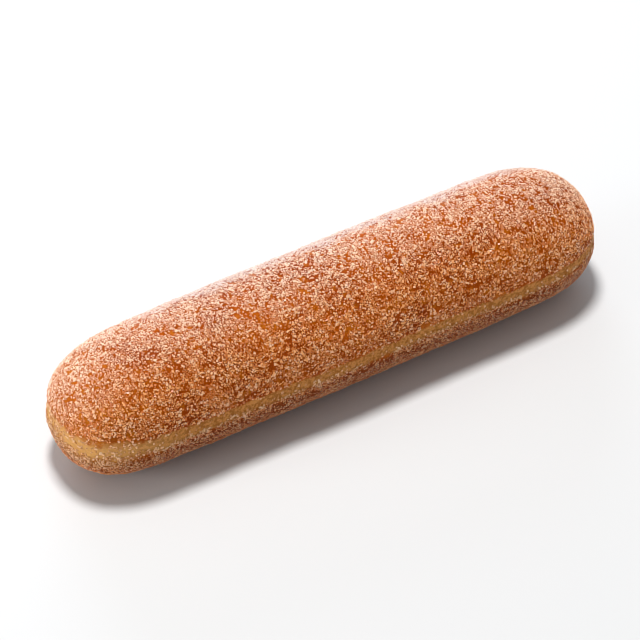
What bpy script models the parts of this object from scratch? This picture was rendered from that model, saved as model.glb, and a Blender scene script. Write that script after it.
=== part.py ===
"""A sugared doughnut stick: one straight bar of raised dough with round ends, fried on both faces.

The two browned faces meet at a pale waistband, which runs right round the bar just under half way up.
+X runs along the bar and +Z is up. The origin is under the middle of the bar, on the table it lies on.
"""

import math

import bmesh
import bpy
from mathutils import Vector, noise

# The finished bar, in metres
LENGTH = 0.167
WIDTH = 0.040
HEIGHT = 0.038

# The cross-section: an upper and a lower half ellipse that meet at the widest level
WIDEST_LEVEL = 0.0160
FOOT_CUT = 0.0007  # how much of the round underside the flat foot takes off

# Each outline keeps its full size along the bar and then rounds off over this much of each end
TOP_END = 0.033
SIDE_END = 0.0265
BASE_END = 0.020
END_FULLNESS = 2.65  # 2 would leave the straight run as an ellipse does, and more leaves it later
TIP_BLUNTNESS = 2.45  # 2 would meet at the tip as an ellipse does, and more is blunter
BARREL = 0.055  # the share by which the bar is slimmer at its tips than at its middle

# The pale waistband, a shallow groove between the two faces
BAND_LEVEL = 0.0176
BAND_HALF_HEIGHT = 0.0021
BAND_DEPTH = 0.0004
BAND_WANDER = 0.0004  # how far its level strays up and down
BAND_WANDER_LENGTH = 0.045

# The unevenness of raised dough: height of each swelling and the distance from one to the next
SWELLS = (
    (0.00035, 0.030),
    (0.00016, 0.011),
    (0.00007, 0.005),
)
SWELL_OFFSET = Vector((3.7, 1.9, 8.3))  # which stretch of the noise the bar shows

# The mesh: rings round the bar, closer together towards its tips
RINGS = 96
POINTS_ROUND = 48

CRUST_COLOUR = (0.47, 0.165, 0.045, 1.0)
CRUST_ROUGHNESS = 0.55

HALF_LENGTH = LENGTH / 2
HALF_WIDTH = WIDTH / 2
TOP_RISE = HEIGHT - WIDEST_LEVEL
BASE_DROP = WIDEST_LEVEL + FOOT_CUT


def clear_scene():
    for obj in list(bpy.data.objects):
        bpy.data.objects.remove(obj, do_unlink=True)


def rounding(from_middle, end_length):
    """1 along the straight of the bar, falling to 0 at the tip over the last end_length."""
    into_end = max(0.0, from_middle - (HALF_LENGTH - end_length)) / end_length
    return (1.0 - into_end**END_FULLNESS) ** (1.0 / TIP_BLUNTNESS)


def slimness(from_middle):
    """The gentle barrel shape: 1 at the middle of the bar and a little less towards its tips."""
    return 1.0 - BARREL * (from_middle / HALF_LENGTH) ** 2


def ring_point(x, turn):
    """The point of the smooth bar at x along it and turn round it, from the side, over the top."""
    from_middle = abs(x)
    slim = slimness(from_middle)
    across = HALF_WIDTH * slim * rounding(from_middle, SIDE_END)
    if math.sin(turn) >= 0.0:
        rise = TOP_RISE * slim * rounding(from_middle, TOP_END)
    else:
        rise = BASE_DROP * slim * rounding(from_middle, BASE_END)
    return Vector((x, across * math.cos(turn), WIDEST_LEVEL + rise * math.sin(turn)))


def smooth_bar():
    """The bar before its unevenness: rings from tip to tip, bridged, with a fan at each tip."""
    bm = bmesh.new()
    rings = []
    for k in range(1, RINGS):
        x = HALF_LENGTH * math.sin(math.pi * (k / RINGS - 0.5))
        turns = (math.tau * i / POINTS_ROUND for i in range(POINTS_ROUND))
        rings.append([bm.verts.new(ring_point(x, turn)) for turn in turns])
    for ring, following in zip(rings, rings[1:]):
        bridge(bm, ring, following)
    close_tip(bm, rings[0], -HALF_LENGTH)
    close_tip(bm, rings[-1], HALF_LENGTH)
    bmesh.ops.recalc_face_normals(bm, faces=bm.faces)
    return bm


def bridge(bm, ring, following):
    for i in range(POINTS_ROUND):
        j = (i + 1) % POINTS_ROUND
        bm.faces.new((ring[i], ring[j], following[j], following[i]))


def close_tip(bm, ring, x):
    tip = bm.verts.new((x, 0.0, WIDEST_LEVEL))
    for i in range(POINTS_ROUND):
        bm.faces.new((ring[i], ring[(i + 1) % POINTS_ROUND], tip))


def swelling(place):
    """How far raised dough stands out from the smooth bar at this place."""
    return sum(height * noise.noise(place / spacing + SWELL_OFFSET) for height, spacing in SWELLS)


def waist(place):
    """How deep the waistband's groove is at this place."""
    wander = noise.noise(Vector((place.x / BAND_WANDER_LENGTH, place.y / BAND_WANDER_LENGTH, 0.0)))
    above_band = place.z - (BAND_LEVEL + BAND_WANDER * wander)
    return BAND_DEPTH * math.exp(-((above_band / BAND_HALF_HEIGHT) ** 2))


def add_relief(bm):
    """Moves each point along its normal, out by the dough's swelling and in by the waist."""
    bm.normal_update()
    moves = [(vert, vert.normal * (swelling(vert.co) - waist(vert.co))) for vert in bm.verts]
    for vert, move in moves:
        vert.co += move


def cut_foot(bm):
    """Slices the underside off at the table, which leaves the flat spot the bar rests on."""
    everything = list(bm.verts) + list(bm.edges) + list(bm.faces)
    bmesh.ops.bisect_plane(
        bm, geom=everything, dist=0.00002, plane_co=(0, 0, 0), plane_no=(0, 0, 1), clear_inner=True
    )
    rim = [edge for edge in bm.edges if edge.is_boundary]
    for edge in rim:
        for vert in edge.verts:
            vert.co.z = 0.0
    bmesh.ops.contextual_create(bm, geom=rim)


def set_to_size(bm):
    """Stretches the uneven bar by a hair, so that its box has the driving sizes and stands on the origin."""
    sizes = (LENGTH, WIDTH, HEIGHT)
    lows = [min(vert.co[axis] for vert in bm.verts) for axis in range(3)]
    highs = [max(vert.co[axis] for vert in bm.verts) for axis in range(3)]
    starts = (-HALF_LENGTH, -HALF_WIDTH, 0.0)
    for vert in bm.verts:
        for axis in range(3):
            share = (vert.co[axis] - lows[axis]) / (highs[axis] - lows[axis])
            vert.co[axis] = starts[axis] + share * sizes[axis]


def crust_material():
    material = bpy.data.materials.new("sugared_crust")
    material.use_nodes = True
    material.diffuse_color = CRUST_COLOUR
    shader = material.node_tree.nodes["Principled BSDF"]
    shader.inputs["Base Color"].default_value = CRUST_COLOUR
    shader.inputs["Roughness"].default_value = CRUST_ROUGHNESS
    shader.inputs["Metallic"].default_value = 0.0
    return material


def make_doughnut_stick():
    bm = smooth_bar()
    add_relief(bm)
    cut_foot(bm)
    set_to_size(bm)
    bmesh.ops.recalc_face_normals(bm, faces=bm.faces)
    mesh = bpy.data.meshes.new("doughnut_stick")
    bm.to_mesh(mesh)
    bm.free()
    mesh.shade_smooth()
    mesh.set_sharp_from_angle(angle=math.radians(30))
    mesh.materials.append(crust_material())
    stick = bpy.data.objects.new("doughnut_stick", mesh)
    bpy.context.scene.collection.objects.link(stick)


clear_scene()
make_doughnut_stick()
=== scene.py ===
# %% [markdown]
# # A sugared doughnut stick
#
# A finger of raised dough is fried on one face and then turned over. Both faces brown, and the waist that
# floats just above the oil stays pale. The warm stick is then rolled in coarse sugar, which clings to the
# brown faces.
#
# The solid of the stick is ready-made. This lesson gives it a crust with the small relief of fried dough, a
# crust finish with a golden waistband, and some forty thousand sugar crystals, each a tiny mesh of its own.

# %% Load the frame
import math

import bmesh
import bpy
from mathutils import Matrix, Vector, noise


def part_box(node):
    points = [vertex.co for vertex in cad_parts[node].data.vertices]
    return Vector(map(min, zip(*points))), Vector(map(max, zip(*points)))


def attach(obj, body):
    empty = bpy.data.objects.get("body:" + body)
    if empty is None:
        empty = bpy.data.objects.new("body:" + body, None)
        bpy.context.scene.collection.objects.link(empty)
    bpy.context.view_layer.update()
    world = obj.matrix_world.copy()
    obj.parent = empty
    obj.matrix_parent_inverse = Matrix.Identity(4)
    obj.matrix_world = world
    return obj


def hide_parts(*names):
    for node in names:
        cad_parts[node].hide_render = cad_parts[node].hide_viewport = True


MM = 0.001

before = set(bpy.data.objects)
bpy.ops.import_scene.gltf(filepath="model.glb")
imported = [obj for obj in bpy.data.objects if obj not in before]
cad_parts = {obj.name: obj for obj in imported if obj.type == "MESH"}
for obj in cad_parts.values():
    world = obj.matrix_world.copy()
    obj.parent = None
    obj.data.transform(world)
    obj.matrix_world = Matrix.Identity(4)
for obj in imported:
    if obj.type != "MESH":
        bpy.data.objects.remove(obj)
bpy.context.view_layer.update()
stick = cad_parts["doughnut_stick"]
stick_low, stick_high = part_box("doughnut_stick")
stick_size = stick_high - stick_low
print("The stick measures", [round(side / MM, 1) for side in stick_size], "mm")

# %% [markdown]
# ## The camera
#
# The photograph looks down at about 46 degrees, with the stick turned 30 degrees to the picture. The two
# long sides hardly converge, so the picture was taken from far off with a long lens. A camera could be set
# by eye, but the angles, the distance and the lens together decide the outline, so they are named values
# that came from fitting the stick's outline. The camera looks at a point a little beside the middle of the
# stick.

# %% The camera
VIEW_DOWN = math.radians(45.58)
VIEW_TURN = math.radians(30.2)
VIEW_DISTANCE = 0.9896
VIEW_LENS = 202.5
SENSOR_WIDTH = 36.0
FURTHEST_SEEN = 20.0
AIM_RIGHT = -1.8 * MM
AIM_UP = -2.25 * MM

toward_camera = Vector((
    -math.sin(VIEW_TURN) * math.cos(VIEW_DOWN),
    -math.cos(VIEW_TURN) * math.cos(VIEW_DOWN),
    math.sin(VIEW_DOWN),
))
camera_right = Vector((math.cos(VIEW_TURN), -math.sin(VIEW_TURN), 0.0))
camera_up = toward_camera.cross(camera_right)
stick_middle = (stick_low + stick_high) / 2
aim = stick_middle + camera_right * AIM_RIGHT + camera_up * AIM_UP

bpy.ops.object.camera_add(location=aim + toward_camera * VIEW_DISTANCE)
camera = bpy.context.active_object
camera.name = "camera"
camera.rotation_euler = toward_camera.to_track_quat("Z", "Y").to_euler()
camera.data.lens = VIEW_LENS
camera.data.sensor_width = SENSOR_WIDTH
camera.data.clip_end = FURTHEST_SEEN
bpy.context.scene.camera = camera
print("The camera stands", [round(x, 3) for x in camera.location], "and looks along", -toward_camera)

# %% [markdown]
# ## The studio
#
# A plain pale floor, an even white surround, and three soft lamps that the camera doesn't see. The stick is
# brightest along its far upper edge and at its left end, and it darkens towards the viewer. A ring of equal
# lamps would light it evenly. So the main lamp hangs above and a little behind it, a small one stands low
# and close at its left end, where its light soon fades along the side, and a bluish one, low behind the
# stick, gives the far edge its cool sheen. The plain view transform keeps white sugar white, where a filmic
# one would grey it, and a narrow pixel filter keeps grains of two or three pixels crisp.

# %% The floor
FLOOR_SIDE = 6.0
FLOOR_PAINT = (0.78, 0.78, 0.78, 1.0)
FLOOR_ROUGHNESS = 0.9

bpy.ops.object.select_all(action="DESELECT")
bpy.ops.mesh.primitive_plane_add(size=FLOOR_SIDE)
floor = bpy.context.active_object
floor.name = "floor"
floor_paint = bpy.data.materials.new("floor_paint")
floor_paint.use_nodes = True
floor_shader = floor_paint.node_tree.nodes["Principled BSDF"]
floor_shader.inputs["Base Color"].default_value = FLOOR_PAINT
floor_shader.inputs["Roughness"].default_value = FLOOR_ROUGHNESS
floor.data.materials.append(floor_paint)
print("The floor is", FLOOR_SIDE, "m wide")

# %% The lamps and the surround
WHITE = (1.0, 1.0, 1.0)
DAYLIGHT = (0.74, 0.88, 1.0)
LAMPS = {
    "top_lamp": {"place": (0.03, 0.21, 1.17), "size": 0.25, "power": 12.1, "colour": WHITE},
    "back_lamp": {"place": (0.30, 0.98, 0.26), "size": 0.7, "power": 5.0, "colour": DAYLIGHT},
    "left_lamp": {"place": (-0.60, 0.10, 0.12), "size": 0.25, "power": 1.35, "colour": WHITE},
}
SURROUND_STRENGTH = 0.292
PIXEL_FILTER = 0.8


def hang_lamp(name, place, size, power, colour):
    bpy.ops.object.light_add(type="AREA", location=place)
    lamp = bpy.context.active_object
    lamp.name = name
    lamp.data.shape = "DISK"
    lamp.data.size = size
    lamp.data.energy = power
    lamp.data.color = colour
    lamp.rotation_euler = (Vector(place) - stick_middle).to_track_quat("Z", "Y").to_euler()
    lamp.visible_camera = False


for name, setting in LAMPS.items():
    hang_lamp(name, **setting)
    print(name, setting)

surround = bpy.data.worlds.new("surround")
surround.use_nodes = True
surround.node_tree.nodes["Background"].inputs["Color"].default_value = (*WHITE, 1.0)
surround.node_tree.nodes["Background"].inputs["Strength"].default_value = SURROUND_STRENGTH
bpy.context.scene.world = surround
bpy.context.scene.view_settings.view_transform = "Standard"
bpy.context.scene.cycles.filter_width = PIXEL_FILTER

# %% [markdown]
# ## The crust
#
# Fried dough is never quite smooth: its skin has shallow dimples a few millimetres across. The crust could
# be a bump map, but then its outline would stay perfectly smooth. So a copy of the solid is welded, turned
# back into four-sided faces and divided twice, which gives a point every 0.7 mm, and the dimples are pressed
# into the mesh.

# %% A welded copy of the solid
WELD = 0.01 * MM
DIVISIONS = 2


def select_only(obj):
    bpy.ops.object.select_all(action="DESELECT")
    obj.select_set(True)
    bpy.context.view_layer.objects.active = obj


crust = bpy.data.objects.new("doughnut_crust", stick.data.copy())
bpy.context.scene.collection.objects.link(crust)
crust.data.materials.clear()
select_only(crust)
bpy.ops.mesh.customdata_custom_splitnormals_clear()
bpy.ops.object.mode_set(mode="EDIT")
bpy.ops.mesh.select_all(action="SELECT")
bpy.ops.mesh.remove_doubles(threshold=WELD)
bpy.ops.mesh.tris_convert_to_quads()
bpy.ops.mesh.normals_make_consistent(inside=False)
bpy.ops.object.mode_set(mode="OBJECT")
bpy.ops.object.shade_smooth()

divided = crust.modifiers.new("divided", "SUBSURF")
divided.levels = DIVISIONS
divided.render_levels = DIVISIONS
bpy.ops.object.modifier_apply(modifier=divided.name)
print("The crust has", len(crust.data.vertices), "points and", len(crust.data.polygons), "faces")

# %% [markdown]
# The waistband wanders a little up and down along the stick, as it does on the solid, whose groove follows
# the same rule. It is wide at the left tip, where that end rode high in the oil, and narrow at the right
# tip. A painted stripe would be simpler, but the relief, the finish and the sugar all have to keep to one
# line. So each point stores its place across the band, 0 in its middle and 1 or -1 at its edges. Beyond the
# edges the value grows at one rate everywhere, by 1 for each usual half width.

# %% The place across the waistband
WAIST_LEVEL = 17.6 * MM
WAIST_WANDER = 0.4 * MM
WAIST_WANDER_LENGTH = 45 * MM
BAND_RAISE = 0.25 * MM
BAND_HALF = 1.75 * MM
LEFT_TIP_HALF = 3.2 * MM
RIGHT_TIP_HALF = 1.5 * MM
TIP_STARTS = 45 * MM
TIP_ENDS = 80 * MM


def smooth_step(low, high, value):
    share = min(1.0, max(0.0, (value - low) / (high - low)))
    return share * share * (3.0 - 2.0 * share)


def place_across_band(place):
    along = Vector((place.x / WAIST_WANDER_LENGTH, place.y / WAIST_WANDER_LENGTH, 0.0))
    middle = WAIST_LEVEL + WAIST_WANDER * noise.noise(along) + BAND_RAISE
    half = BAND_HALF
    half += (LEFT_TIP_HALF - BAND_HALF) * smooth_step(TIP_STARTS, TIP_ENDS, -place.x)
    half += (RIGHT_TIP_HALF - BAND_HALF) * smooth_step(TIP_STARTS, TIP_ENDS, place.x)
    above = place.z - middle
    inside = max(-1.0, min(1.0, above / half))
    beyond = max(0.0, abs(above) - half) / BAND_HALF
    return inside + math.copysign(beyond, above)


across_band = crust.data.attributes.new("across_band", "FLOAT", "POINT")
for point, entry in zip(crust.data.vertices, across_band.data):
    entry.value = place_across_band(point.co)
print("The waistband is", 2 * BAND_HALF / MM, "mm wide,", 2 * LEFT_TIP_HALF / MM, "at its left tip")

# %% [markdown]
# Round the stick the sugar's colour carries painted light. It is painted white on the upper side, which leans
# away from the viewer, and at the two tips, as painted light and sheen, and painted warm lower down, as
# painted bounce light from the crust. Each point stores as "painted_lit_side" how far it lies toward that
# side. A painted sheen lies on the shoulder of the far side, in patches that thin out downward and toward the
# left end, and each point stores its share of it as "painted_sheen". A noise texture could make both, but it
# wouldn't know up from down.
# Both attributes are made before they are filled, because a new one can move the others.

# %% The painted lit side
# Painted light: the sugar is painted white toward the lit upper side and warm away from it.
LIT_SIDE_LEAN = math.radians(35)
LIT_SIDE_FROM = 0.12
LIT_SIDE_FULLY = 1.02
# Painted light: both tips are painted whiter, the right one as painted sheen, the left one as painted light
# from its side.
RIGHT_END_EXTRA = 0.32
RIGHT_END_STARTS = 40 * MM
LEFT_END_EXTRA = 0.30
LEFT_END_STARTS = 63 * MM

crust.data.attributes.new("painted_lit_side", "FLOAT", "POINT")
crust.data.attributes.new("painted_sheen", "FLOAT", "POINT")
painted_lit_side = crust.data.attributes["painted_lit_side"]
lit_side_direction = Vector((0.0, math.sin(LIT_SIDE_LEAN), math.cos(LIT_SIDE_LEAN)))
radius = stick_size.z - WAIST_LEVEL
core = Vector((0.0, 0.0, WAIST_LEVEL))
for point, entry in zip(crust.data.vertices, painted_lit_side.data):
    toward = (point.co - core).dot(lit_side_direction) / radius
    toward += RIGHT_END_EXTRA * smooth_step(RIGHT_END_STARTS, stick_high.x, point.co.x)
    toward += LEFT_END_EXTRA * smooth_step(LEFT_END_STARTS, stick_high.x, -point.co.x)
    entry.value = smooth_step(LIT_SIDE_FROM, LIT_SIDE_FULLY, toward)
# The sugar counted here is sugar painted white, as painted light.
lit_side_points = sum(entry.value > 0.5 for entry in painted_lit_side.data)
print("Dry sugar lies on", round(100 * lit_side_points / len(painted_lit_side.data)), "% of the crust")

# %% The painted sheen
# Painted sheen: pale patches on the far upper shoulder, in place of a sheen.
FAR_STARTS = 4.5 * MM
FAR_ENDS = 10.5 * MM
FAR_WANDER = 3.0 * MM
FAR_WANDER_LENGTH = 9 * MM
THINS_FROM = 34 * MM
THINS_TO = 25 * MM
SHEEN_LOW = 0.15
SHEEN_ABOVE_BAND = (0.5, 1.5)
SHEEN_LEFT = (-74 * MM, -30 * MM)

painted_sheen = crust.data.attributes["painted_sheen"]
for point, entry in zip(crust.data.vertices, painted_sheen.data):
    far = point.co.y + FAR_WANDER * noise.noise(point.co / FAR_WANDER_LENGTH)
    high = SHEEN_LOW + (1.0 - SHEEN_LOW) * smooth_step(THINS_TO, THINS_FROM, point.co.z)
    above_band = smooth_step(*SHEEN_ABOVE_BAND, place_across_band(point.co))
    off_left_end = smooth_step(*SHEEN_LEFT, point.co.x)
    entry.value = smooth_step(FAR_STARTS, FAR_ENDS, far) * high * above_band * off_left_end
# The share counted here is the painted sheen.
sheen_points = sum(entry.value > 0.5 for entry in painted_sheen.data)
print("Powder lies on", round(100 * sheen_points / len(painted_sheen.data)), "% of the crust")

# %% [markdown]
# The relief is made by Displace modifiers, one for each size of dimple, each with its own procedural cloud
# pattern. Sculpting could make it too, but it couldn't be repeated. A vertex group holds the dimples back at
# the foot, which stays flat on the table, and another group lifts the two brown faces a hair above the
# waistband, because their crust puffs up and the waistband's doesn't.

# %% The vertex groups
FOOT_STARTS = 0.3 * MM
FOOT_ENDS = 2.0 * MM
EDGE_STARTS = 0.8
EDGE_ENDS = 1.3

off_foot = crust.vertex_groups.new(name="off_foot")
brown_faces = crust.vertex_groups.new(name="brown_faces")
for point in crust.data.vertices:
    clear = smooth_step(FOOT_STARTS, FOOT_ENDS, point.co.z)
    off_foot.add([point.index], clear, "REPLACE")
    brown = smooth_step(EDGE_STARTS, EDGE_ENDS, abs(place_across_band(point.co)))
    brown_faces.add([point.index], brown * clear, "REPLACE")
print("The crust has the groups", [group.name for group in crust.vertex_groups])

# %% The dimples of fried dough
DIMPLES = {
    "broad_dimples": {"spacing": 5.0 * MM, "height": 0.28 * MM, "depth": 1},
    "orange_peel": {"spacing": 2.2 * MM, "height": 0.16 * MM, "depth": 1},
}
FACE_LIFT = 0.12 * MM


def press_in(name, spacing, height, depth):
    pattern = bpy.data.textures.new(name, "CLOUDS")
    pattern.noise_scale = spacing
    pattern.noise_depth = depth
    dimples = crust.modifiers.new(name, "DISPLACE")
    dimples.texture = pattern
    dimples.texture_coords = "LOCAL"
    dimples.strength = height
    dimples.mid_level = 0.5
    dimples.vertex_group = "off_foot"
    bpy.ops.object.modifier_apply(modifier=name)


lift = crust.modifiers.new("face_lift", "DISPLACE")
lift.strength = FACE_LIFT
lift.mid_level = 0.0
lift.vertex_group = "brown_faces"
bpy.ops.object.modifier_apply(modifier="face_lift")
for name, setting in DIMPLES.items():
    press_in(name, **setting)
    print(name, "every", setting["spacing"] / MM, "mm")

# %% [markdown]
# ## Finishes
#
# A material is a small graph of nodes. It could be drawn by hand in the shader editor. Here a helper adds a
# node, sets its inputs and links what is given as another node's output, so that each graph reads like a
# list of what it mixes. The same helpers serve the sugar's scattering, which is a graph as well.

# %% Helpers for node graphs
ALONG = 0
UPWARD = 2


def add_node(tree, kind, inputs=None, **settings):
    node = tree.nodes.new(kind)
    for key, value in settings.items():
        setattr(node, key, value)
    for key, value in (inputs or {}).items():
        if isinstance(value, bpy.types.NodeSocket):
            tree.links.new(value, node.inputs[key])
        else:
            node.inputs[key].default_value = value
    return node


def mix_colours(tree, share, first, second, blend="MIX"):
    inputs = {0: share, 6: first, 7: second}
    return add_node(tree, "ShaderNodeMix", inputs, data_type="RGBA", blend_type=blend).outputs[2]


def math_node(tree, operation, first, second=0.0):
    return add_node(tree, "ShaderNodeMath", {0: first, 1: second}, operation=operation).outputs[0]


def vector_node(tree, operation, inputs):
    return add_node(tree, "ShaderNodeVectorMath", inputs, operation=operation).outputs


def coordinate(tree, place, axis):
    return add_node(tree, "ShaderNodeSeparateXYZ", {0: place}).outputs[axis]


def ramp_between(tree, value, low, high, to_low=0.0, to_high=1.0):
    inputs = {"Value": value, "From Min": low, "From Max": high, "To Min": to_low, "To Max": to_high}
    return add_node(tree, "ShaderNodeMapRange", inputs, interpolation_type="SMOOTHSTEP").outputs["Result"]


def noise_value(tree, place, spacing, detail=2.0):
    inputs = {"Vector": place, "Scale": 1.0 / spacing, "Detail": detail}
    return add_node(tree, "ShaderNodeTexNoise", inputs).outputs[0]


def stored(tree, name):
    """What the crust, or the scattering, stored under a name."""
    return add_node(tree, "ShaderNodeAttribute", attribute_name=name).outputs["Fac"]


# %% [markdown]
# ### Fried browning, with painted shade and light
#
# Browning isn't even. Broad patches are deeper where the dough pressed into the oil, small spots stay
# lighter over blisters, fine flecks are darker, and the underside is painted darkest, as painted shade. The
# waistband keeps the yellow of the dough. At the left tip the crust and the band are painted more golden and
# brighter, partly the dough's own gold and partly painted light from the left, and below the band there a
# golden rim is painted light. The band's edge is ragged so that it isn't a drawn line, and its gold lies a
# little low, because the lower edge fades under sugar.
#
# The sugar shows the crust's colour through itself, so both finishes need the browning. It is one group: it
# takes the place and the place across the band, and puts out the colour and how golden the dough is, where
# the painted golden rim counts as golden too. Ranges are pairs, from where a change starts to where it is
# done, and a second pair gives the values at both.

# %% The ragged edge of the band
EDGE_SPACING = 2.5 * MM
RAGGED_BY = (-50 * MM, -80 * MM, 1.2, 2.2)


def band_edge(tree, place, across, middle):
    """The distance in half bandwidths from a line in the band, made ragged."""
    uneven = math_node(tree, "SUBTRACT", noise_value(tree, place, EDGE_SPACING, detail=3.0), 0.5)
    raggedness = ramp_between(tree, coordinate(tree, place, ALONG), *RAGGED_BY)
    from_line = math_node(tree, "ABSOLUTE", math_node(tree, "SUBTRACT", across, middle))
    return math_node(tree, "ADD", from_line, math_node(tree, "MULTIPLY", uneven, raggedness))


# %% The colours of fried dough, with painted shade and light
DEEP_BROWN = (0.340, 0.050, 0.002, 1.0)
ORANGE_BROWN = (0.500, 0.095, 0.003, 1.0)
AMBER = (0.600, 0.155, 0.008, 1.0)
FLECK_BROWN = (0.230, 0.034, 0.002, 1.0)
# Painted shade: the crust below the band is painted darker.
UNDERSIDE_SHADE_BROWN = (0.190, 0.034, 0.004, 1.0)
# Painted light, in part: the left tip's gold is partly the dough's own and partly painted light from the
# left.
TIP_GOLD_AND_LIGHT = (0.600, 0.180, 0.015, 1.0)
# Painted light: a golden rim below the band at the left tip.
PAINTED_RIM_LIGHT = (0.480, 0.170, 0.028, 1.0)
BAND_GOLD = (0.660, 0.285, 0.075, 1.0)
BAND_OCHRE = (0.400, 0.140, 0.026, 1.0)
# Painted light, in part: the band at the left tip is golden dough, painted brighter as painted light from the
# left.
TIP_BAND_GOLD_AND_LIGHT = (0.800, 0.430, 0.140, 1.0)

# %% Brown patches, spots and flecks
PATCH_BROWN_SPACING = 14 * MM
PATCHES = (0.35, 0.65)
BLISTER_SPACING = 3 * MM
BLISTERS = (0.52, 0.70, 0.0, 0.7)
FLECK_SPACING = 0.55 * MM
FLECKS = (0.50, 0.64, 0.0, 0.6)


def brown_crust(tree, place):
    """The colour of the brown faces: broad patches, lighter blisters and dark flecks."""
    patches = ramp_between(tree, noise_value(tree, place, PATCH_BROWN_SPACING), *PATCHES)
    blisters = ramp_between(tree, noise_value(tree, place, BLISTER_SPACING), *BLISTERS)
    flecks = ramp_between(tree, noise_value(tree, place, FLECK_SPACING, detail=1.0), *FLECKS)
    colour = mix_colours(tree, patches, DEEP_BROWN, ORANGE_BROWN)
    colour = mix_colours(tree, blisters, colour, AMBER)
    return mix_colours(tree, flecks, colour, FLECK_BROWN)


# %% The browning group
TIP_GOLD_AND_LIGHT_REACH = (-60 * MM, -82 * MM, 0.0, 0.35)
UNDERSIDE = (-0.8, -2.2, 0.0, 0.9)
RIM_REACH = (-62 * MM, -80 * MM)
RIM_TOP = (0.3, -0.6)
RIM_FOOT = (-4.2, -1.6)
RIM_SHARE = 0.45
LEFT_TIP_REACH = (-52 * MM, -80 * MM)
GOLD_MIDDLE = -0.12
GOLD_ENDS = 1.35
GOLD_FULL = (0.75, 0.35)
MOTTLE_SPACING = 0.9 * MM
MOTTLES = (0.35, 0.65)
TIP_BAND_SHARE = 0.7


def make_browning():
    group = bpy.data.node_groups.new("browning_and_painted_light", "ShaderNodeTree")
    group.interface.new_socket("Place", in_out="INPUT", socket_type="NodeSocketVector")
    group.interface.new_socket("Across Band", in_out="INPUT", socket_type="NodeSocketFloat")
    group.interface.new_socket("Color", in_out="OUTPUT", socket_type="NodeSocketColor")
    group.interface.new_socket("Golden", in_out="OUTPUT", socket_type="NodeSocketFloat")
    given = add_node(group, "NodeGroupInput")
    place = given.outputs["Place"]
    across = given.outputs["Across Band"]
    along = coordinate(group, place, ALONG)

    colour = brown_crust(group, place)
    # Painted light, in part: the left tip is painted more golden and brighter.
    colour = mix_colours(group, ramp_between(group, along, *TIP_GOLD_AND_LIGHT_REACH), colour, TIP_GOLD_AND_LIGHT)
    # Painted shade: the crust below the band is painted darker.
    colour = mix_colours(group, ramp_between(group, across, *UNDERSIDE), colour, UNDERSIDE_SHADE_BROWN)
    # Painted light: a golden rim below the band at the left tip, which also turns its sugar golden.
    below_top = ramp_between(group, across, *RIM_TOP)
    below_band = math_node(group, "MULTIPLY", below_top, ramp_between(group, across, *RIM_FOOT))
    rim = math_node(group, "MULTIPLY", ramp_between(group, along, *RIM_REACH), below_band)
    colour = mix_colours(group, math_node(group, "MULTIPLY", rim, RIM_SHARE), colour, PAINTED_RIM_LIGHT)

    at_left_tip = ramp_between(group, along, *LEFT_TIP_REACH)
    fully_band = ramp_between(group, at_left_tip, 0.0, 1.0, *GOLD_FULL)
    band = ramp_between(group, band_edge(group, place, across, GOLD_MIDDLE), GOLD_ENDS, fully_band)
    mottled = ramp_between(group, noise_value(group, place, MOTTLE_SPACING, detail=3.0), *MOTTLES)
    dough = mix_colours(group, mottled, BAND_OCHRE, BAND_GOLD)
    # Painted light, in part: the band at the left tip is painted brighter.
    tip_band_gold_lit = math_node(group, "MULTIPLY", at_left_tip, TIP_BAND_SHARE)
    dough = mix_colours(group, tip_band_gold_lit, dough, TIP_BAND_GOLD_AND_LIGHT)
    colour = mix_colours(group, band, colour, dough)
    golden = math_node(group, "MAXIMUM", band, rim)
    add_node(group, "NodeGroupOutput", {"Color": colour, "Golden": golden})
    print(group.name, "has", len(group.nodes), "nodes")
    return group


browning_and_painted_light = make_browning()


def browning_at(tree, place):
    """The browning group placed in a finish, with its outputs."""
    inputs = {"Place": place, "Across Band": stored(tree, "across_band")}
    return add_node(tree, "ShaderNodeGroup", inputs, node_tree=browning_and_painted_light).outputs


# %% [markdown]
# ### The crust's finish
#
# The crust is satin with a trace of frying oil. Under the surface it lets a little light through, which
# makes bare spots glow amber. The finest sugar, dust too small to model, is a faint haze of pale specks in
# its colour. On the far shoulder pale patches are painted in as a painted sheen. A real sheen would whiten
# every edge in the same way, so the painted sheen is coloured where the crust stored it.

# %% The crust finish
SUGAR_HAZE = (0.85, 0.42, 0.22, 1.0)
HAZE_SPACING = 0.45 * MM
HAZE_SPECKS = (0.60, 0.68, 0.0, 0.15)
# Painted sheen: pale patches on the far shoulder.
PAINTED_SHEEN_COLOUR = (0.72, 0.52, 0.45, 1.0)
SHEEN_SPACING = 1.2 * MM
SHEEN_PATCHES = (0.40, 0.62, 0.0, 0.55)
PORE_SPACING = 0.8 * MM
PORE_DEPTH = 0.08 * MM
PORE_STRENGTH = 0.5
CRUST_ROUGHNESS = (0.3, 0.7, 0.38, 0.6)
CRUST_IOR = 1.40
CRUST_GLOSS = 0.05
CRUST_GLOW = 0.12
CRUST_GLOW_COLOURS = (1.0, 0.4, 0.12)
CRUST_GLOW_DEPTH = 1.2 * MM


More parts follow.
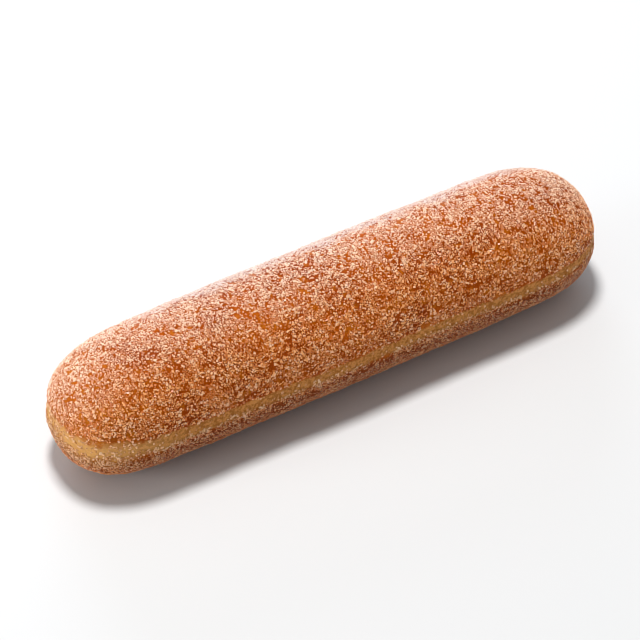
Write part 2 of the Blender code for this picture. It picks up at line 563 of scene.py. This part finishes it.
def make_crust_finish():
    finish = bpy.data.materials.new("fried_crust")
    finish.use_nodes = True
    tree = finish.node_tree
    shader = tree.nodes["Principled BSDF"]
    place = add_node(tree, "ShaderNodeTexCoord").outputs["Object"]
    haze = ramp_between(tree, noise_value(tree, place, HAZE_SPACING, detail=1.0), *HAZE_SPECKS)
    colour = mix_colours(tree, haze, browning_at(tree, place)["Color"], SUGAR_HAZE)
    # Painted sheen: pale patches where the crust stored its share.
    patches = ramp_between(tree, noise_value(tree, place, SHEEN_SPACING, detail=3.0), *SHEEN_PATCHES)
    sheened = math_node(tree, "MULTIPLY", stored(tree, "painted_sheen"), patches)
    colour = mix_colours(tree, sheened, colour, PAINTED_SHEEN_COLOUR)
    tree.links.new(colour, shader.inputs["Base Color"])
    pores = noise_value(tree, place, PORE_SPACING, detail=3.0)
    tree.links.new(ramp_between(tree, pores, *CRUST_ROUGHNESS), shader.inputs["Roughness"])
    relief = {"Height": pores, "Strength": PORE_STRENGTH, "Distance": PORE_DEPTH}
    bump = add_node(tree, "ShaderNodeBump", relief)
    tree.links.new(bump.outputs["Normal"], shader.inputs["Normal"])
    shader.inputs["IOR"].default_value = CRUST_IOR
    shader.inputs["Specular IOR Level"].default_value = CRUST_GLOSS
    shader.inputs["Subsurface Weight"].default_value = CRUST_GLOW
    shader.inputs["Subsurface Radius"].default_value = CRUST_GLOW_COLOURS
    shader.inputs["Subsurface Scale"].default_value = CRUST_GLOW_DEPTH
    return finish


crust_finish = make_crust_finish()
crust.data.materials.append(crust_finish)
print("The crust wears", crust_finish.name)

# %% [markdown]
# ## The sugar
#
# Granulated sugar is made of clear blocky crystals. A round grain would be quicker to make, but it wouldn't
# glint. So each kind of crystal is modelled once, from a cube: two opposite edges are cut off and the top is
# pushed sideways, because sugar crystals are slanted. It is small and repeated thousands of times, so it has
# twenty triangles at most.

# %% A sugar crystal
FACING_UP = 0.9


def crystal_block(name, sides, cut, slant):
    """A slanted block of the given sides, with two opposite long edges cut off."""
    bpy.ops.object.select_all(action="DESELECT")
    bpy.ops.mesh.primitive_cube_add(size=1.0)
    block = bpy.context.active_object
    block.name = name
    block.scale = sides
    bpy.ops.object.transform_apply(location=False, rotation=False, scale=True)
    bpy.ops.object.mode_set(mode="EDIT")
    mesh = bmesh.from_edit_mesh(block.data)
    if cut:
        for edge in mesh.edges:
            middle = (edge.verts[0].co + edge.verts[1].co) / 2
            edge.select = abs(middle.y) < sides[1] / 10 and middle.x * middle.z > 0
        bmesh.update_edit_mesh(block.data)
        bpy.ops.mesh.bevel(offset=cut, segments=1)
    for face in mesh.faces:
        face.select = face.normal.z > FACING_UP
    bmesh.update_edit_mesh(block.data)
    bpy.ops.transform.translate(value=(slant, 0.0, 0.0))
    bpy.ops.object.mode_set(mode="OBJECT")
    triangles = sum(len(face.vertices) - 2 for face in block.data.polygons)
    print(name, "has", triangles, "triangles")
    return block


# %% [markdown]
# ### Where sugar stays
#
# Sugar is thick on the brown faces, patchy there, sparse over blisters, and nearly absent on the smooth
# waistband, except at its left tip. The two ends were pressed into the sugar, so they are a little fuller,
# and none clings to the flat foot. The cover could be painted by hand. A graph works it out from what the
# crust stored, so that the sugar's edge follows the same ragged line as the golden band.

# %% The cover of sugar
BARE_MIDDLE = 0.25
BARE_BAND = (0.55, 1.15, 0.06, 1.0)
TIP_COVER = (-55 * MM, -80 * MM, 0.0, 0.40)
COVER_SPACING = 3.5 * MM
PATCHY_COVER = (0.36, 0.56, 0.55, 1.0)
BLISTER_COVER = (0.60, 0.70, 1.0, 0.35)
FULLER_ENDS = (45 * MM, 75 * MM, 0.0, 0.2)
FOOT_COVER = (0.1 * MM, 1.0 * MM)


def position(tree):
    return add_node(tree, "GeometryNodeInputPosition").outputs[0]


def cover_share(tree):
    """How much of the sugar that lands at a place stays there, from 0 to 1."""
    given = add_node(tree, "GeometryNodeInputNamedAttribute", {"Name": "across_band"}, data_type="FLOAT")
    place = position(tree)
    along = coordinate(tree, place, ALONG)
    off_band = ramp_between(tree, band_edge(tree, place, given.outputs[0], BARE_MIDDLE), *BARE_BAND)
    off_band = math_node(tree, "MAXIMUM", off_band, ramp_between(tree, along, *TIP_COVER))
    patchy = ramp_between(tree, noise_value(tree, place, COVER_SPACING), *PATCHY_COVER)
    off_blisters = ramp_between(tree, noise_value(tree, place, BLISTER_SPACING), *BLISTER_COVER)
    bare = math_node(tree, "SUBTRACT", 1.0, math_node(tree, "MULTIPLY", patchy, off_blisters))
    fuller = ramp_between(tree, math_node(tree, "ABSOLUTE", along), *FULLER_ENDS)
    bare = math_node(tree, "MULTIPLY", bare, math_node(tree, "SUBTRACT", 1.0, fuller))
    kept = math_node(tree, "MULTIPLY", off_band, math_node(tree, "SUBTRACT", 1.0, bare))
    return math_node(tree, "MULTIPLY", kept, ramp_between(tree, coordinate(tree, place, UPWARD), *FOOT_COVER))


# %% [markdown]
# ### How far a grain stands out
#
# A crystal's colour depends on its height over the crust. Each of its points could ask for it while it is
# rendered, but a finish can't see another piece. So the height is measured once, while the sugar is strewn:
# from the nearest place on the crust to the point, along the crust's normal there.

# %% The height over the crust
def height_over(tree, ground):
    """How far a point stands out from the ground's surface, below 0 inside it."""
    place = position(tree)
    foot = add_node(
        tree, "GeometryNodeProximity", {0: ground, "Sample Position": place}, target_element="FACES"
    )
    ground_normal = add_node(tree, "GeometryNodeInputNormal").outputs[0]
    outward = add_node(
        tree, "GeometryNodeSampleNearestSurface", data_type="FLOAT_VECTOR",
        inputs={"Mesh": ground, "Value": ground_normal, "Sample Position": place},
    )
    rise = vector_node(tree, "SUBTRACT", {0: place, 1: foot.outputs["Position"]})[0]
    return vector_node(tree, "DOT_PRODUCT", {0: rise, 1: outward.outputs[0]})["Value"]


# %% [markdown]
# ### Scattering
#
# Tens of thousands of crystals can't be placed by hand. A particle system would do it, but its copies aren't
# meshes. A Geometry Nodes tree strews points over the crust, lays a crystal on each at a small tilt, with a
# random spin and size, and makes the copies real. Points keep a least distance from each other, as grains
# that lie side by side do. Four times as many points as fit are strewn at first, so that hardly a gap is
# left when the crowded ones are dropped. Every kind of grain strews the same points and keeps its own lot of
# them, so that grains of different kinds don't land on each other. Round the flat foot they are pressed into
# the crust.

# %% A lot of the strewn points
GRAIN_SPACING = 0.45 * MM
STREWN_PER_GRAIN = 4.0
STREW_DENSITY = STREWN_PER_GRAIN / GRAIN_SPACING**2
STREW_SEED = 11


def random_value(tree, step, kind="FLOAT", low=None, high=None):
    """A random number or vector for each point, drawn by a seed of its own."""
    inputs = {"Seed": STREW_SEED + step}
    if kind == "FLOAT_VECTOR":
        inputs.update({0: low, 1: high})
    node = add_node(tree, "FunctionNodeRandomValue", inputs, data_type=kind)
    return node.outputs[0 if kind == "FLOAT_VECTOR" else 1]


def strewn_lot(tree, crust_in, lot):
    """The strewn points, and of them only those that one kind of grain keeps."""
    strewn = add_node(
        tree, "GeometryNodeDistributePointsOnFaces", distribute_method="POISSON",
        inputs={"Mesh": crust_in, "Distance Min": GRAIN_SPACING, "Density Max": STREW_DENSITY,
                "Density Factor": cover_share(tree), "Seed": STREW_SEED},
    )
    drawn = random_value(tree, 1)
    too_low = add_node(tree, "FunctionNodeCompare", {0: drawn, 1: lot[0]}, operation="LESS_THAN")
    too_high = add_node(tree, "FunctionNodeCompare", {0: drawn, 1: lot[1]}, operation="GREATER_EQUAL")
    others = add_node(
        tree, "FunctionNodeBooleanMath", {0: too_low.outputs[0], 1: too_high.outputs[0]}, operation="OR"
    )
    own = add_node(
        tree, "GeometryNodeDeleteGeometry",
        {"Geometry": strewn.outputs["Points"], "Selection": others.outputs[0]},
    )
    return strewn.outputs, own.outputs[0]


# %% The scattering tree
TILT = math.radians(35)
FOOT_SINK = 0.42 * MM
FOOT_RISE = (0.2 * MM, 1.0 * MM)


def lay_crystals(tree, strewn, own, crystal, sink, sizes):
    """A crystal on each point, sunk in a little, tilted, spun and sized at random."""
    sunk_by = ramp_between(tree, coordinate(tree, position(tree), UPWARD), *FOOT_RISE, -FOOT_SINK, -sink)
    inward = vector_node(tree, "SCALE", {0: strewn["Normal"], "Scale": sunk_by})[0]
    sunk = add_node(tree, "GeometryNodeSetPosition", {"Geometry": own, "Offset": inward})
    turn = random_value(tree, 2, "FLOAT_VECTOR", (-TILT, -TILT, 0.0), (TILT, TILT, math.tau))
    lying = add_node(
        tree, "FunctionNodeRotateRotation", {0: strewn["Rotation"], 1: turn}, rotation_space="LOCAL"
    )
    size = random_value(tree, 3, "FLOAT_VECTOR", (sizes[0],) * 3, (sizes[1],) * 3)
    crystal_in = add_node(tree, "GeometryNodeObjectInfo", {"Object": crystal})
    placed = add_node(
        tree, "GeometryNodeInstanceOnPoints",
        {"Points": sunk.outputs[0], "Instance": crystal_in.outputs["Geometry"],
         "Rotation": lying.outputs[0], "Scale": size},
    )
    return placed.outputs[0]


def scattering_tree(name, crystal, lot, sink, sizes):
    tree = bpy.data.node_groups.new(name, "GeometryNodeTree")
    tree.interface.new_socket("Geometry", in_out="INPUT", socket_type="NodeSocketGeometry")
    tree.interface.new_socket("Geometry", in_out="OUTPUT", socket_type="NodeSocketGeometry")
    crust_in = add_node(tree, "NodeGroupInput").outputs[0]
    strewn, own = strewn_lot(tree, crust_in, lot)
    placed = lay_crystals(tree, strewn, own, crystal, sink, sizes)
    tinted = add_node(
        tree, "GeometryNodeStoreNamedAttribute", data_type="FLOAT", domain="INSTANCE",
        inputs={"Geometry": placed, "Name": "tint", "Value": random_value(tree, 4)},
    )
    real = add_node(tree, "GeometryNodeRealizeInstances", {"Geometry": tinted.outputs[0]})
    measured = add_node(
        tree, "GeometryNodeStoreNamedAttribute", data_type="FLOAT", domain="POINT",
        inputs={"Geometry": real.outputs[0], "Name": "stand", "Value": height_over(tree, crust_in)},
    )
    add_node(tree, "NodeGroupOutput", {0: measured.outputs[0]})
    return tree


# %% [markdown]
# ### The sugar's finish
#
# Sugar crystals are clear, but so many small faces scatter the light that they look milky, with glints where
# a face mirrors a lamp. Real glass would need many light bounces for each crystal. Instead the colour does
# it: at its foot a crystal shows the crust's own colour through itself, from the same browning group, and it
# whitens within a fifth of a millimetre, by its height over the crust, which the scattering stored as
# "stand". There are three sorts of sugar colour, which are painted light: warm on the flanks, as painted
# bounce light from the crust, white on the crown and the tips, as painted light and sheen, and pale pink on
# the far shoulder, as a painted sheen. Each has a dull and a clear colour, and its "milk" is how cloudy it
# is at the foot. The crust stored the shares of the sorts as "painted_lit_side" and "painted_sheen", and the
# scattering passed them on. Grains on golden dough turn golden, and so do those on the painted golden rim,
# and those on the underside are dimmer, by painted shade. Whiteness and roughness also differ from crystal to
# crystal, and the clearest ones are painted nearly white, as painted glints.

# %% The colours of sugar
# Painted light: warm sugar as painted bounce light from the crust, white sugar on the lit top and tips, and
# pale pink sugar on the painted sheen.
SUGAR_IN_BOUNCE_LIGHT = {
    "milk": 0.10,
    "dull": (0.690, 0.175, 0.014, 1.0),
    "clear": (0.980, 0.480, 0.172, 1.0),
}
SUGAR_IN_TOP_LIGHT = {
    "milk": 0.30,
    "dull": (0.740, 0.360, 0.200, 1.0),
    "clear": (0.950, 0.755, 0.600, 1.0),
}
SUGAR_IN_SHEEN = {
    "milk": 0.60,
    "dull": (0.710, 0.490, 0.410, 1.0),
    "clear": (0.820, 0.700, 0.660, 1.0),
}
BAND_SUGAR = {
    "dull": (0.600, 0.280, 0.070, 1.0),
    "clear": (0.980, 0.680, 0.400, 1.0),
}
# Painted glints: the clearest crystals are painted nearly white.
GLINT_SUGAR = (0.970, 0.700, 0.500, 1.0)
FULL_LIGHT = (1.0, 1.0, 1.0, 1.0)
UNDER_SHADE = (0.620, 0.550, 0.520, 1.0)

# %% The colour of a crystal
WHITE_AT = 0.18 * MM
CLEARNESS = (0.22, 0.78)
GLINTS = (0.76, 0.92, 0.0, 0.5)
GOLDEN_SHARE = 0.65
UNDER_STARTS = (17.5 * MM, 12 * MM)
UNDER_DEPTH = (-82 * MM, -62 * MM, 0.45, 1.0)


def sugar_colour(tree, place, tint):
    """The colour of a crystal, from its foot on the crust to its white top."""
    clearness = ramp_between(tree, tint, *CLEARNESS)
    whitened = ramp_between(tree, stored(tree, "stand"), 0.0, WHITE_AT)
    browning = browning_at(tree, place)
    sorts = []
    for sugar in (SUGAR_IN_BOUNCE_LIGHT, SUGAR_IN_TOP_LIGHT, SUGAR_IN_SHEEN):
        body = mix_colours(tree, clearness, sugar["dull"], sugar["clear"])
        foot = mix_colours(tree, sugar["milk"], browning["Color"], sugar["dull"])
        sorts.append(mix_colours(tree, whitened, foot, body))
    bounce_lit, top_lit, sheened = sorts
    # Painted light: warm below, white toward the lit upper side and the tips, pale pink on the painted sheen.
    colour = mix_colours(tree, stored(tree, "painted_lit_side"), bounce_lit, top_lit)
    colour = mix_colours(tree, stored(tree, "painted_sheen"), colour, sheened)
    colour = mix_colours(tree, ramp_between(tree, tint, *GLINTS), colour, GLINT_SUGAR)
    golden = math_node(tree, "MULTIPLY", browning["Golden"], GOLDEN_SHARE)
    on_band = mix_colours(tree, clearness, BAND_SUGAR["dull"], BAND_SUGAR["clear"])
    return mix_colours(tree, golden, colour, on_band)


def under_shade(tree, place):
    """How much light reaches a place, less on the underside, but not so much less at the left tip."""
    depth = ramp_between(tree, coordinate(tree, place, ALONG), *UNDER_DEPTH)
    under = ramp_between(tree, coordinate(tree, place, UPWARD), *UNDER_STARTS)
    return mix_colours(tree, math_node(tree, "MULTIPLY", under, depth), FULL_LIGHT, UNDER_SHADE)


# %% The sugar finish
SUGAR_ROUGHNESS = (0.0, 1.0, 0.32, 0.5)
SUGAR_IOR = 1.54
SUGAR_GLOSS = 0.5
SUGAR_GLOW = 0.15
SUGAR_GLOW_COLOURS = (1.0, 0.9, 0.8)
SUGAR_GLOW_DEPTH = 0.3 * MM


def make_sugar_finish():
    finish = bpy.data.materials.new("sugar_crystal")
    finish.use_nodes = True
    tree = finish.node_tree
    shader = tree.nodes["Principled BSDF"]
    place = add_node(tree, "ShaderNodeTexCoord").outputs["Object"]
    tint = stored(tree, "tint")
    colour = mix_colours(tree, 1.0, sugar_colour(tree, place, tint), under_shade(tree, place), "MULTIPLY")
    tree.links.new(colour, shader.inputs["Base Color"])
    tree.links.new(ramp_between(tree, tint, *SUGAR_ROUGHNESS), shader.inputs["Roughness"])
    shader.inputs["IOR"].default_value = SUGAR_IOR
    shader.inputs["Specular IOR Level"].default_value = SUGAR_GLOSS
    shader.inputs["Subsurface Weight"].default_value = SUGAR_GLOW
    shader.inputs["Subsurface Radius"].default_value = SUGAR_GLOW_COLOURS
    shader.inputs["Subsurface Scale"].default_value = SUGAR_GLOW_DEPTH
    return finish


sugar_finish = make_sugar_finish()
print(sugar_finish.name, "has", len(sugar_finish.node_tree.nodes), "nodes")

# %% [markdown]
# ### Four kinds of grain
#
# A spoonful of sugar holds whole crystals, blocks, flat ones and broken bits. One kind in many sizes would
# look like gravel. Each kind is strewn as a piece of its own, starting from a copy of the crust whose faces
# the tree swaps for crystals. The model of each crystal goes once its copies are real.

# %% Strew the sugar
GRAINS = {
    "sugar_crystals": {
        "sides": (0.70 * MM, 0.82 * MM, 0.60 * MM), "cut": 0.18 * MM, "slant": 0.08 * MM,
        "lot": (0.0, 0.22), "sink": 0.10 * MM, "sizes": (0.6, 1.2),
    },
    "sugar_blocks": {
        "sides": (0.56 * MM, 0.64 * MM, 0.48 * MM), "cut": 0.12 * MM, "slant": 0.10 * MM,
        "lot": (0.22, 0.44), "sink": 0.06 * MM, "sizes": (0.6, 1.2),
    },
    "sugar_flakes": {
        "sides": (0.60 * MM, 0.72 * MM, 0.30 * MM), "cut": 0.08 * MM, "slant": 0.10 * MM,
        "lot": (0.44, 0.65), "sink": 0.02 * MM, "sizes": (0.6, 1.2),
    },
    "sugar_bits": {
        "sides": (0.40 * MM, 0.46 * MM, 0.34 * MM), "cut": 0.0, "slant": 0.06 * MM,
        "lot": (0.65, 1.0), "sink": 0.0, "sizes": (0.7, 1.3),
    },
}


def strew(name, sides, cut, slant, lot, sink, sizes):
    crystal = crystal_block("crystal_of_" + name, sides, cut, slant)
    grains = bpy.data.objects.new(name, crust.data.copy())
    bpy.context.scene.collection.objects.link(grains)
    select_only(grains)
    strewing = grains.modifiers.new("strewing", "NODES")
    strewing.node_group = scattering_tree("strew_" + name, crystal, lot, sink, sizes)
    bpy.ops.object.modifier_apply(modifier="strewing")
    grains.data.materials.clear()
    grains.data.materials.append(sugar_finish)
    bpy.data.objects.remove(crystal, do_unlink=True)
    grains.data.calc_loop_triangles()
    print(name, "has", len(grains.data.loop_triangles), "triangles")
    return grains


sugar_pieces = [strew(name, **setting) for name, setting in GRAINS.items()]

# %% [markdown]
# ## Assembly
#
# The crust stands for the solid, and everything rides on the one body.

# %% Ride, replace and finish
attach(crust, "root")
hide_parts("doughnut_stick")
for grains in sugar_pieces:
    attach(grains, "root")
